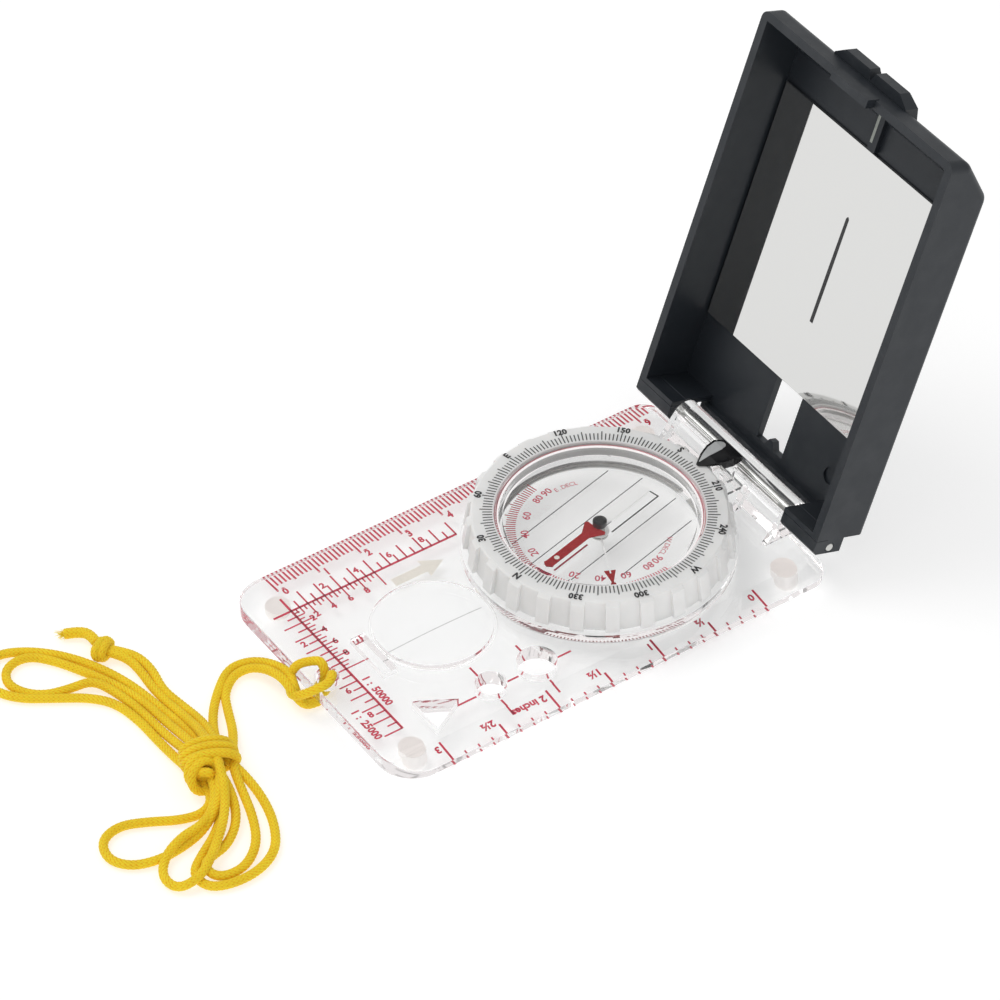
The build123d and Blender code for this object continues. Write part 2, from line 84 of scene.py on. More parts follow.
# ================================================================ material kit
class Graph:
    """A material's node tree with short calls for adding and joining nodes."""

    def __init__(self, name):
        self.material = bpy.data.materials.new(name)
        self.material.use_nodes = True
        self.tree = self.material.node_tree
        self.tree.nodes.clear()
        self.output = self.tree.nodes.new("ShaderNodeOutputMaterial")

    def node(self, kind, **values):
        made = self.tree.nodes.new("ShaderNode" + kind)
        for key, value in values.items():
            setattr(made, key, value)
        return made

    def join(self, source, target):
        self.tree.links.new(source, target)

    def principled(self, color, roughness, **sockets):
        made = self.node("BsdfPrincipled")
        made.inputs["Base Color"].default_value = (*color, 1.0)
        made.inputs["Roughness"].default_value = roughness
        for key, value in sockets.items():
            made.inputs[key.replace("_", " ")].default_value = value
        self.join(made.outputs[0], self.output.inputs["Surface"])
        return made

    def position(self):
        """Object coordinates in millimetres."""
        coordinates = self.node("TexCoord")
        mapping = self.node("Mapping")
        mapping.inputs["Scale"].default_value = (1 / MM,) * 3
        self.join(coordinates.outputs["Object"], mapping.inputs["Vector"])
        return mapping.outputs[0]

    def noise(self, vector, scale, detail=3.0, roughness=0.5):
        made = self.node("TexNoise")
        made.inputs["Scale"].default_value = scale
        made.inputs["Detail"].default_value = detail
        made.inputs["Roughness"].default_value = roughness
        self.join(vector, made.inputs["Vector"])
        return made.outputs["Fac"]

    def ramp(self, source, low, high, start=(0, 0, 0), end=(1, 1, 1)):
        made = self.node("ValToRGB")
        made.color_ramp.elements[0].position = low
        made.color_ramp.elements[0].color = (*start, 1)
        made.color_ramp.elements[1].position = high
        made.color_ramp.elements[1].color = (*end, 1)
        self.join(source, made.inputs["Fac"])
        return made.outputs["Color"]

    def bump(self, source, target, distance, strength=1.0):
        made = self.node("Bump")
        made.inputs["Strength"].default_value = strength
        made.inputs["Distance"].default_value = distance
        self.join(source, made.inputs["Height"])
        self.join(made.outputs[0], target.inputs["Normal"])

    def roughness_range(self, source, shader, low, high):
        made = self.node("MapRange")
        made.inputs["To Min"].default_value = low
        made.inputs["To Max"].default_value = high
        self.join(source, made.inputs["Value"])
        self.join(made.outputs[0], shader.inputs["Roughness"])


# Light that has met more reflections or faces than these inside clear plastic is seen as a glow.
MOST_REFLECTIONS = 3.5
MOST_FACES = 11.5
GLOW_COLOR = (1.0, 0.955, 0.955, 1)


def inner_glow(g, shader, glow):
    """Shows light that has gone round inside the plastic many times as an even glow.

    Only a ray that hasn't yet met a matt surface sees it, so the glow lights nothing else.
    """
    shader.inputs["Emission Color"].default_value = GLOW_COLOR
    depth = g.node("LightPath")
    deep = g.node("Math", operation="MAXIMUM")
    limits = (("Glossy Depth", MOST_REFLECTIONS), ("Ray Depth", MOST_FACES))
    for index, (kind, most) in enumerate(limits):
        past = g.node("Math", operation="GREATER_THAN")
        past.inputs[1].default_value = most
        g.join(depth.outputs[kind], past.inputs[0])
        g.join(past.outputs[0], deep.inputs[index])
    unscattered = g.node("Math", operation="LESS_THAN")
    unscattered.inputs[1].default_value = 0.5
    g.join(depth.outputs["Diffuse Depth"], unscattered.inputs[0])
    seen = g.node("Math", operation="MULTIPLY")
    g.join(deep.outputs[0], seen.inputs[0])
    g.join(unscattered.outputs[0], seen.inputs[1])
    strength = g.node("Math", operation="MULTIPLY")
    strength.inputs[1].default_value = glow
    g.join(seen.outputs[0], strength.inputs[0])
    g.join(strength.outputs[0], shader.inputs["Emission Strength"])
    g.material.cycles.emission_sampling = "NONE"


def clear_plastic(name, color, ior=CLEAR_IOR, roughness=0.015, bump=0.004, glow=0.43):
    """Clear moulded plastic. Lamps shine straight through it, so what is under it stays lit.

    Glow is how bright the light that has gone round inside it is seen, and bump, the height of its
    surface's waves, is in millimetres.
    """
    g = Graph(name)
    shader = g.principled(color, roughness, Transmission_Weight=1.0, IOR=ior)
    inner_glow(g, shader, glow)
    if bump:
        place = g.position()
        g.roughness_range(g.noise(place, 0.5), shader, roughness * 0.4, roughness * 2.2)
        g.bump(g.noise(place, 0.12, 2.0), shader, bump * MM)
    clear = g.node("BsdfTransparent")
    clear.inputs["Color"].default_value = (*[0.5 + c / 2 for c in color], 1)
    light = g.node("LightPath")
    mix = g.node("MixShader")
    g.join(light.outputs["Is Shadow Ray"], mix.inputs[0])
    g.join(shader.outputs[0], mix.inputs[1])
    g.join(clear.outputs[0], mix.inputs[2])
    g.join(mix.outputs[0], g.output.inputs["Surface"])
    return g.material


def grained_plastic(name, color, roughness, wear, grain=0.35, depth=0.02):
    """Moulded plastic with a fine spark-eroded grain, and edges a little paler from handling.

    Grain and depth, the grain's size and height, are in millimetres; wear is how much paler.
    """
    g = Graph(name)
    shader = g.principled(color, roughness, Specular_IOR_Level=0.36)
    place = g.position()
    fine = g.noise(place, 1 / grain, 4.0, 0.6)
    g.bump(fine, shader, depth * MM, 0.55)
    g.roughness_range(g.noise(place, 0.35, 5.0), shader, roughness - 0.07, roughness + 0.09)
    geometry = g.node("NewGeometry")
    edge = g.ramp(geometry.outputs["Pointiness"], 0.52, 0.62)
    patch = g.ramp(g.noise(place, 0.22, 6.0), 0.40, 0.66)
    worn = g.node("Mix", data_type="RGBA", blend_type="MULTIPLY")
    worn.inputs["Factor"].default_value = 1.0
    g.join(edge, worn.inputs["A"])
    g.join(patch, worn.inputs["B"])
    tint = g.node("Mix", data_type="RGBA")
    tint.inputs["A"].default_value = (*color, 1)
    tint.inputs["B"].default_value = (*[c + wear for c in color], 1)
    g.join(worn.outputs["Result"], tint.inputs["Factor"])
    g.join(tint.outputs["Result"], shader.inputs["Base Color"])
    return g.material


def bezel_plastic(name):
    """Milky translucent moulding with faint flow marks."""
    g = Graph(name)
    shader = g.principled((0.86, 0.86, 0.85), 0.3, Subsurface_Weight=0.55, Subsurface_Scale=0.0016)
    shader.inputs["Subsurface Radius"].default_value = (1.0, 0.96, 0.92)
    shader.inputs["IOR"].default_value = 1.47
    place = g.position()
    cloud = g.noise(place, 0.16, 4.0)
    milk = g.ramp(cloud, 0.3, 0.7, (0.83, 0.83, 0.82), (0.89, 0.885, 0.875))
    g.join(milk, shader.inputs["Base Color"])
    g.roughness_range(g.noise(place, 0.6, 4.0), shader, 0.24, 0.38)
    g.bump(g.noise(place, 1.6, 3.0), shader, 0.008 * MM, 0.4)
    return g.material


def paint(name, color, roughness, speck=0.12, shine=0.5, glow=0.0):
    """A thin coat of ink or enamel. Its tone wanders by speck; glow is painted light, an even emission
    that brightens it as light from all sides would.
    """
    g = Graph(name)
    shader = g.principled(color, roughness, Specular_IOR_Level=shine, Emission_Strength=glow)
    place = g.position()
    patch = g.noise(place, 1.4, 5.0, 0.65)
    low = tuple(max(0.0, c * (1 - speck)) for c in color)
    high = tuple(min(1.0, c * (1 + speck) + 0.01) for c in color)
    g.join(g.ramp(patch, 0.3, 0.7, low, high), shader.inputs["Base Color"])
    g.bump(g.noise(place, 5.0, 2.0), shader, 0.004 * MM, 0.3)
    return g.material


def silvered(name):
    """Back-silvered mirror glass with a very slight haze of dust."""
    g = Graph(name)
    shader = g.principled((0.68, 0.68, 0.67), 0.02, Metallic=1.0)
    place = g.position()
    g.roughness_range(g.noise(place, 0.25, 6.0, 0.7), shader, 0.008, 0.05)
    return g.material


def metal(name, color, roughness):
    """Drawn steel with fine lengthwise lines."""
    g = Graph(name)
    shader = g.principled(color, roughness, Metallic=1.0)
    place = g.position()
    stretch = g.node("Mapping")
    stretch.inputs["Scale"].default_value = (0.06, 3.0, 3.0)
    g.join(place, stretch.inputs["Vector"])
    lines = g.noise(stretch.outputs[0], 2.0, 4.0)
    g.roughness_range(lines, shader, roughness - 0.08, roughness + 0.12)
    g.bump(lines, shader, 0.004 * MM, 0.4)
    return g.material


def silicone(name):
    """Soft milky feet. The weak emission stands for the light that comes through them."""
    g = Graph(name)
    shader = g.principled((0.90, 0.87, 0.855), 0.45, Emission_Strength=0.20, Specular_IOR_Level=0.3)
    shader.inputs["Emission Color"].default_value = (1.0, 0.965, 0.95, 1)
    place = g.position()
    g.roughness_range(g.noise(place, 1.1, 3.0), shader, 0.36, 0.55)
    g.bump(g.noise(place, 2.0, 3.0), shader, 0.01 * MM, 0.4)
    return g.material


def braid(name):
    """Braided polyester, bright on each crossing strand and orange down in the gaps: shade painted into
    its colour by the braid's height.
    """
    g = Graph(name)
    shader = g.principled((0.9, 0.55, 0.03), 0.7, Sheen_Weight=0.05, Specular_IOR_Level=0.2)
    shader.inputs["Subsurface Weight"].default_value = 0.2
    shader.inputs["Subsurface Scale"].default_value = 0.0006
    shader.inputs["Subsurface Radius"].default_value = (1.0, 0.6, 0.15)
    # painted shade: this ramp darkens the colour from yellow to deep orange where the braid is low, in
    # the gaps between strands
    relief = g.node("Attribute", attribute_name="braid_relief")
    ramp = g.node("ValToRGB")
    first, last = ramp.color_ramp.elements
    first.position, first.color = 0.16, (0.66, 0.17, 0.003, 1)
    last.position, last.color = 0.8, (1.0, 0.785, 0.04, 1)
    middle = ramp.color_ramp.elements.new(0.42)
    middle.color = (0.98, 0.60, 0.014, 1)
    g.join(relief.outputs["Fac"], ramp.inputs["Fac"])
    place = g.position()
    cloud = g.ramp(g.noise(place, 0.25, 4.0), 0.3, 0.7, (0.90, 0.88, 0.84), (1, 1, 1))
    tone = g.node("Mix", data_type="RGBA", blend_type="MULTIPLY")
    tone.inputs["Factor"].default_value = 1.0
    g.join(ramp.outputs["Color"], tone.inputs["A"])
    g.join(cloud, tone.inputs["B"])
    g.join(tone.outputs["Result"], shader.inputs["Base Color"])
    fibre = g.node("Mapping")
    fibre.inputs["Scale"].default_value = (7.0, 7.0, 7.0)
    g.join(place, fibre.inputs["Vector"])
    g.bump(g.noise(fibre.outputs[0], 1.5, 3.0), shader, 0.02 * MM, 0.5)
    return g.material


MATERIALS = {
    "clear": clear_plastic("clear_acrylic", (0.905, 0.907, 0.905)),
    # The capsule's own pieces lie in capsule_filling, so they bend light only a little more than air.
    "capsule": clear_plastic(
        "clear_capsule", (0.998, 0.998, 0.998), ior=1.02, roughness=0.0, bump=0.0, glow=0.5
    ),
    "filling": clear_plastic("capsule_filling", (0.965, 0.965, 0.96), roughness=0.006, bump=0.0),
    "bezel": bezel_plastic("white_bezel"),
    "cover": grained_plastic("dark_cover", (0.0170, 0.0210, 0.0265), 0.42, wear=0.012),
    "black": grained_plastic(
        "black_gloss", (0.006, 0.006, 0.007), 0.16, grain=0.8, depth=0.004, wear=0.02
    ),
    "hub": grained_plastic(
        "hub_black", (0.008, 0.008, 0.009), 0.3, grain=0.5, depth=0.006, wear=0.03
    ),
    "red_enamel": paint("red_enamel", (0.46, 0.008, 0.012), 0.4, shine=0.15),
    # painted light: the white enamel's glow is an emission that brightens it as light from all sides
    # would
    "white_enamel": paint(
        "white_enamel", (0.88, 0.88, 0.87), 0.4, speck=0.04, shine=0.3, glow=0.22
    ),
    "red_ink": paint("red_ink", (0.72, 0.025, 0.075), 0.5, speck=0.2),
    "scale_ink": paint("scale_ink", (0.72, 0.06, 0.12), 0.5, speck=0.15),
    "pink_ink": paint("pink_ink", (0.74, 0.30, 0.33), 0.5, speck=0.15),
    "black_ink": paint("black_ink", (0.02, 0.02, 0.022), 0.5, speck=0.2),
    "grey_ink": paint("grey_ink", (0.48, 0.48, 0.48), 0.5, speck=0.1),
    "inlay": paint("pointer_inlay", (0.47, 0.48, 0.48), 0.3, speck=0.06),
    # painted highlight: the pale grey of the strip on the lit edge of the rib above the mirror
    "rib_highlight_grey": paint("rib_highlight_grey", (0.27, 0.29, 0.26), 0.4, speck=0.1),
    # painted light: the cream paint's glow is an emission that brightens it, not light of its own
    "cream": paint("luminous_cream", (0.90, 0.86, 0.76), 0.6, speck=0.05, shine=0.3, glow=0.12),
    "mirror": silvered("mirror_glass"),
    "tape": paint("foam_tape", (0.7, 0.7, 0.68), 0.8, speck=0.08),
    "steel": metal("steel", (0.62, 0.62, 0.60), 0.32),
    "magnet": metal("magnet_steel", (0.25, 0.25, 0.26), 0.4),
    "jewel": clear_plastic("jewel", (0.8, 0.25, 0.35), ior=1.76, roughness=0.02, bump=0.0),
    "silicone": silicone("silicone"),
    "cord": braid("cord_yellow"),
}

NODE_MATERIALS = {
    "base_plate": "clear",
    "rubber_feet": "silicone",
    "travel_arrow": "cream",
    "index_pointer": "black",
    "bezel_ring": "bezel",
    "bezel_retainer": "bezel",
    "capsule_cup": "capsule",
    "capsule_lid": "capsule",
    "scale_disc": "capsule",
    "pivot_pin": "steel",
    "jewel_cup": "jewel",
    "needle_hub_cap": "hub",
    "needle_magnet": "magnet",
    "needle_north": "red_enamel",
    "needle_south": "white_enamel",
    "needle_lume_dot": "cream",
    "clinometer_arm": "white_enamel",
    "clinometer_pointer": "red_enamel",
    "mirror_cover": "cover",
    "mirror": "mirror",
    "mirror_tape": "tape",
    "hinge_pin": "steel",
}


# ================================================================ camera, light, floor
# The camera is given by where it looks from: azimuth and elevation, a small roll, its distance
# from the dial and how far the camera is moved sideways and up from looking straight at it.
CAMERA_AZIMUTH = math.radians(55.225)
CAMERA_ELEVATION = math.radians(42.627)
CAMERA_ROLL = math.radians(0.207)
CAMERA_DISTANCE = 1.05681
CAMERA_SIDE, CAMERA_RISE = -0.02083, 0.01040
CAMERA_FOCUS = Vector((0, 0.00088, PLATE_LOW + 0.00167))
SENSOR_WIDTH = 36
FOCAL_RATIO = 5.205  # focal length over the sensor's width

WORLD_LIGHT = 0.62
FLOOR_REACH = 3.0
FLOOR_COLOR = (0.55, 0.55, 0.55)
FLOOR_GLOW = 0.58


def make_camera():
    ca, sa = math.cos(CAMERA_AZIMUTH), math.sin(CAMERA_AZIMUTH)
    ce, se = math.cos(CAMERA_ELEVATION), math.sin(CAMERA_ELEVATION)
    forward = Vector((-sa * ce, ca * ce, -se))
    right = Vector((ca, sa, 0))
    up = right.cross(forward)
    cr, sr = math.cos(CAMERA_ROLL), math.sin(CAMERA_ROLL)
    right, up = right * cr + up * sr, up * cr - right * sr
    place = CAMERA_FOCUS - forward * CAMERA_DISTANCE + right * CAMERA_SIDE + up * CAMERA_RISE
    data = bpy.data.cameras.new("camera")
    data.sensor_width = SENSOR_WIDTH
    data.lens = FOCAL_RATIO * data.sensor_width
    data.clip_start, data.clip_end = 0.05, 20
    camera = bpy.data.objects.new("camera", data)
    bpy.context.scene.collection.objects.link(camera)
    turn = Matrix((right, up, -forward)).transposed().to_4x4()
    camera.matrix_world = Matrix.Translation(place) @ turn
    bpy.context.scene.camera = camera


def area_light(name, place, target, size, power):
    data = bpy.data.lights.new(name, "AREA")
    data.shape = "RECTANGLE"
    data.size, data.size_y = size
    data.energy = power
    light = bpy.data.objects.new(name, data)
    light.location = place
    light.rotation_mode = "QUATERNION"
    light.rotation_quaternion = (Vector(target) - Vector(place)).to_track_quat("-Z", "Y")
    bpy.context.scene.collection.objects.link(light)


def make_studio():
    world = bpy.data.worlds.new("studio")
    world.use_nodes = True
    background = world.node_tree.nodes["Background"]
    background.inputs["Color"].default_value = (1, 1, 1, 1)
    background.inputs["Strength"].default_value = WORLD_LIGHT
    bpy.context.scene.world = world
    bpy.context.scene.view_settings.view_transform = "Standard"
    area_light("key", (-0.35, -0.25, 0.85), (0, 0, 0.02), (0.5, 0.5), 2.2)
    area_light("fill", (0.8, -0.5, 0.5), (0, 0, 0.03), (0.6, 0.4), 0.8)
    mesh = bpy.data.meshes.new("floor")
    corners = [(x * FLOOR_REACH, y * FLOOR_REACH, 0) for x, y in ((-1, -1), (1, -1), (1, 1), (-1, 1))]
    mesh.from_pydata(corners, [], [(0, 1, 2, 3)])
    floor = bpy.data.objects.new("floor", mesh)
    bpy.context.scene.collection.objects.link(floor)
    g = Graph("floor")
    paper = g.principled(FLOOR_COLOR, 0.7, Specular_IOR_Level=0.1, Emission_Strength=FLOOR_GLOW)
    paper.inputs["Emission Color"].default_value = (1, 1, 1, 1)
    g.roughness_range(g.noise(g.position(), 0.02), paper, 0.65, 0.75)
    mesh.materials.append(g.material)


make_camera()
make_studio()


# ================================================================ mesh kit
def mesh_object(name, vertices, faces, material, body, smooth=False):
    mesh = bpy.data.meshes.new(name)
    mesh.from_pydata([tuple(v) for v in vertices], [], faces)
    mesh.update()
    if smooth:
        mesh.polygons.foreach_set("use_smooth", [True] * len(mesh.polygons))
    thing = bpy.data.objects.new(name, mesh)
    bpy.context.scene.collection.objects.link(thing)
    mesh.materials.append(MATERIALS[material])
    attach(thing, body)
    return thing


def around(radius, angle):
    """The point at that radius and angle, in degrees, round the middle."""
    a = math.radians(angle)
    return radius * math.cos(a), radius * math.sin(a)


class Print:
    """Flat ink, gathered as thin closed prisms and turned into one piece.

    Its level is given in metres, and every other size in millimetres.
    """

    INK = 0.03
    FONT_SIZE = 1.37  # font size for a digit one unit high

    def __init__(self, level, turn=0.0, matrix=None):
        self.level = level / MM
        self.turn = turn
        self.matrix = matrix
        self.vertices, self.faces = [], []

    def place(self, x, y, z):
        c, s = math.cos(self.turn), math.sin(self.turn)
        point = Vector((x * c - y * s, x * s + y * c, z)) * MM
        return self.matrix @ point if self.matrix else point

    def prism(self, outline):
        """A flat outline given anticlockwise."""
        start, count = len(self.vertices), len(outline)
        for height in (self.level, self.level + self.INK):
            self.vertices += [self.place(x, y, height) for x, y in outline]
        self.faces.append(tuple(start + i for i in reversed(range(count))))
        self.faces.append(tuple(start + count + i for i in range(count)))
        for i in range(count):
            j = (i + 1) % count
            self.faces.append((start + i, start + j, start + count + j, start + count + i))

    def line(self, a, b, width):
        """A straight line from a to b."""
        (ax, ay), (bx, by) = a, b
        long = math.hypot(bx - ax, by - ay)
        nx, ny = -(by - ay) / long * width / 2, (bx - ax) / long * width / 2
        self.prism([(ax - nx, ay - ny), (bx - nx, by - ny), (bx + nx, by + ny), (ax + nx, ay + ny)])

    def ray(self, angle, inner, outer, width):
        """A line out from the middle at that angle in degrees, between two radii."""
        self.line(around(inner, angle), around(outer, angle), width)

    def arc(self, radius, start, end, width, steps):
        """An arc round the middle, from start to end degrees."""
        inner, outer = radius - width / 2, radius + width / 2
        for i in range(steps):
            a, b = (start + (end - start) * (i + k) / steps for k in (0, 1))
            self.prism([around(inner, a), around(outer, a), around(outer, b), around(inner, b)])

    def text(self, words, x, y, height, angle=0.0, width=1.0, weight=0.0):
        """Words centred on (x, y), their baseline turned by angle in degrees.

        Width stretches them along the baseline, and weight thickens them, as a share of height.
        """
        curve = bpy.data.curves.new("words", "FONT")
        curve.body = words
        curve.size = height * self.FONT_SIZE
        curve.align_x, curve.align_y = "CENTER", "CENTER"
        curve.offset = weight * height
        curve.extrude = self.INK / 2
        curve.resolution_u = 2
        holder = bpy.data.objects.new("words", curve)
        mesh = bpy.data.meshes.new_from_object(holder)
        c, s = math.cos(math.radians(angle)), math.sin(math.radians(angle))
        start = len(self.vertices)
        for v in mesh.vertices:
            px, py, pz = v.co.x * width, v.co.y, self.level + v.co.z + self.INK / 2
            self.vertices.append(self.place(x + px * c - py * s, y + px * s + py * c, pz))
        self.faces += [tuple(start + i for i in p.vertices) for p in mesh.polygons]
        bpy.data.objects.remove(holder)
        bpy.data.curves.remove(curve)
        bpy.data.meshes.remove(mesh)

    def finish(self, name, material, body):
        """The gathered ink as one piece, with its corners joined and its faces turned outward."""
        thing = mesh_object(name, self.vertices, self.faces, material, body)
        mesh = bmesh.new()
        mesh.from_mesh(thing.data)
        bmesh.ops.remove_doubles(mesh, verts=mesh.verts, dist=1e-6)
        bmesh.ops.recalc_face_normals(mesh, faces=mesh.faces)
        mesh.to_mesh(thing.data)
        mesh.free()
        return thing


# ================================================================ the cord, in millimetres
CORD_RADIUS = 1.0
STITCHES_ROUND = 8
STITCH_LENGTH = 0.95
BRAID_DEPTH = 0.24
BRAID_STEP = 0.24
POINTS_ROUND = 24
# An open tube's end is this share of its width, and widens over about this length.
END_WIDTH, END_LENGTH = 0.55, 0.5
# the braid height given to a cut end, so that the painted shade makes its face a darker orange
END_TONE = 0.3


def route_points(name, places):
    """Points along the smooth NURBS line whose control points are these places, in millimetres."""
    curve = bpy.data.curves.new(name, "CURVE")
    curve.dimensions = "3D"
    spline = curve.splines.new("NURBS")
    spline.points.add(len(places) - 1)
    for point, place in zip(spline.points, places):
        point.co = (*[c * MM for c in place], 1)
    spline.order_u = 3
    spline.use_endpoint_u = True
    spline.resolution_u = 16
    holder = bpy.data.objects.new(name, curve)
    mesh = bpy.data.meshes.new_from_object(holder)
    points = [v.co.copy() for v in mesh.vertices]
    bpy.data.objects.remove(holder)
    bpy.data.curves.remove(curve)
    bpy.data.meshes.remove(mesh)
    return points


def evenly(points, step):
    """The same line, cut at equal distances."""
    spans = [(b - a).length for a, b in zip(points, points[1:])]
    total = sum(spans)
    count = max(2, round(total / step))
    made, index, passed = [], 0, 0.0
    for i in range(count + 1):
        want = total * i / count
        while index < len(spans) - 1 and passed + spans[index] < want:
            passed += spans[index]
            index += 1
        share = (want - passed) / spans[index] if spans[index] > 0 else 0
        made.append(points[index].lerp(points[index + 1], min(1.0, share)))
    return made


def relief_at(turn, distance):
    """Height of the braid, 0 to 1, where one carrier crosses over the other."""
    a = turn * STITCHES_ROUND + distance / STITCH_LENGTH
    b = turn * STITCHES_ROUND - distance / STITCH_LENGTH
    over, under = (a, b) if (math.floor(a) + math.floor(b)) % 2 == 0 else (b, a)
    crown = math.sin(math.pi * (over % 1.0))
    along = math.sin(math.pi * (under % 1.0))
    return (0.25 + 0.75 * crown) * (0.55 + 0.45 * along)


def braided_tube(name, points, radius=CORD_RADIUS, closed=False):
    """A tube along points with the braid's relief on its surface; an open one narrows at its ends."""
    sides = POINTS_ROUND
    line = evenly(points, BRAID_STEP * MM)
    if closed:
        line = line[:-1]
    count = len(line)
    normal = None
    vertices, relief = [], []
    for i, place in enumerate(line):
        before = line[i - 1] if i or closed else line[0]
        after = line[(i + 1) % count] if i < count - 1 or closed else line[-1]
        along = (after - before).normalized()
        if normal is None:
            normal = along.orthogonal().normalized()
        normal = (normal - along * normal.dot(along)).normalized()
        side = along.cross(normal)
        from_end = min(i, count - 1 - i) * BRAID_STEP
        fade = 1.0 if closed else min(1.0, from_end / END_LENGTH + END_WIDTH)
        for k in range(sides):
            turn = k / sides
            height = relief_at(turn, i * BRAID_STEP)
            r = (radius - BRAID_DEPTH + BRAID_DEPTH * height) * fade * MM
            angle = 2 * math.pi * turn
            vertices.append(place + (normal * math.cos(angle) + side * math.sin(angle)) * r)
            relief.append(height)
    faces = []
    for i in range(count if closed else count - 1):
        j = (i + 1) % count
        for k in range(sides):
            m = (k + 1) % sides
            faces.append((i * sides + k, i * sides + m, j * sides + m, j * sides + k))
    if not closed:
        for ring, flip in ((0, True), (count - 1, False)):
            centre = len(vertices)
            vertices.append(line[ring])
            relief.append(END_TONE)
            for k in range(sides):
                m = (k + 1) % sides
                pair = (ring * sides + k, ring * sides + m)
                faces.append((*(reversed(pair) if flip else pair), centre))
    return braid_relief(mesh_object(name, vertices, faces, "cord", "base", smooth=True), relief)


def braid_relief(thing, relief):
    """Gives a cord piece the height of the braid at each point, which its material colours by, painting
    shade into the low parts.
    """
    layer = thing.data.attributes.new("braid_relief", "FLOAT", "POINT")
    layer.data.foreach_set("value", relief)
    return thing


# Each strand runs from the front of the hitch's bight, through the plate's hole, under the plate
# and out, along the lead beside the other one, through the knot to the loops of the hank and on to
# the end knot. The two keep LEAD_OFFSET each side of the lead's centre line.
LEAD_OFFSET = 0.97
LEAD = [
    (-5.7, -71.8, 4.4), (-10.4, -72.3, 3.2), (-13.9, -73.8, 2.0), (-15.5, -76.2, 1.3),
    (-15.3, -79.2, 1.1),
]


def beside(places, offset):
    """The same places moved sideways, level, by offset millimetres to the right of the way they go."""
    moved = []
    for i, (x, y, z) in enumerate(places):
        (ax, ay, _), (bx, by, _) = places[max(0, i - 1)], places[min(len(places) - 1, i + 1)]
        long = math.hypot(bx - ax, by - ay)
        moved.append((x + (by - ay) / long * offset, y - (bx - ax) / long * offset, z))
    return moved


STRAND_LEFT = [
    # hitch and lead
    (-5.2, -71.0, 2.0), (-6.1, -70.7, 3.4), (-5.6, -70.5, 5.2), (-4.9, -69.4, 7.0),
    (-3.9, -66.9, 7.2), (-2.2, -65.9, 8.0), (-1.0, -65.8, 6.5), (-0.95, -66.0, 3.8),
    (-1.1, -66.8, 1.1), (-1.3, -69.6, 1.0), (-1.0, -71.9, 1.6), (-2.2, -72.2, 4.3),
    *beside(LEAD, LEAD_OFFSET),
    # hank and end knot
    (-12.4, -83.8, 1.1), (-7.8, -87.9, 1.3), (-1.4, -91.6, 2.6), (5.4, -93.8, 4.0),
    (12.0, -92.6, 2.8), (18.0, -92.4, 1.3), (24.6, -94.2, 1.1), (30.4, -97.6, 1.1),
    (33.2, -103.2, 1.1), (33.2, -109.4, 1.1), (31.2, -113.8, 1.1), (26.6, -114.2, 1.1),
    (23.6, -110.2, 1.2), (20.8, -105.6, 1.3), (17.0, -101.4, 1.6), (11.6, -98.8, 2.8),
    (6.0, -97.0, 4.0), (-0.6, -95.0, 3.0), (-6.6, -94.8, 1.6), (-13.6, -95.4, 1.2),
    (-23.6, -96.8, 1.1), (-31.6, -99.6, 1.1), (-38.4, -103.6, 1.1), (-43.6, -108.8, 1.1),
    (-46.4, -114.6, 1.1), (-44.4, -120.2, 1.1), (-38.6, -120.6, 1.1), (-33.2, -117.6, 1.1),
    (-29.0, -111.2, 1.1), (-25.2, -105.4, 1.1), (-20.8, -102.0, 1.1), (-14.0, -100.8, 1.1),
    (-6.4, -100.8, 1.2), (1.0, -100.6, 1.8), (7.0, -99.8, 2.2), (12.4, -100.6, 1.6),
    (14.4, -104.0, 1.1), (13.2, -108.8, 1.1), (10.2, -113.8, 1.1), (7.8, -119.2, 1.1),
    (9.4, -124.2, 1.1), (14.4, -125.6, 1.1), (18.4, -122.8, 1.1), (20.0, -117.4, 1.1),
    (19.6, -111.6, 1.1), (18.6, -106.4, 1.8), (15.8, -101.6, 3.4), (11.0, -97.8, 5.0),
    (4.6, -94.8, 5.4), (-1.6, -92.2, 3.6), (-7.4, -91.2, 1.8), (-13.4, -91.8, 1.2),
    (-19.0, -92.6, 1.2), (-24.4, -91.4, 1.4), (-29.2, -91.8, 1.7), (-32.6, -94.3, 2.0),
    (-35.0, -96.6, 2.1),
]
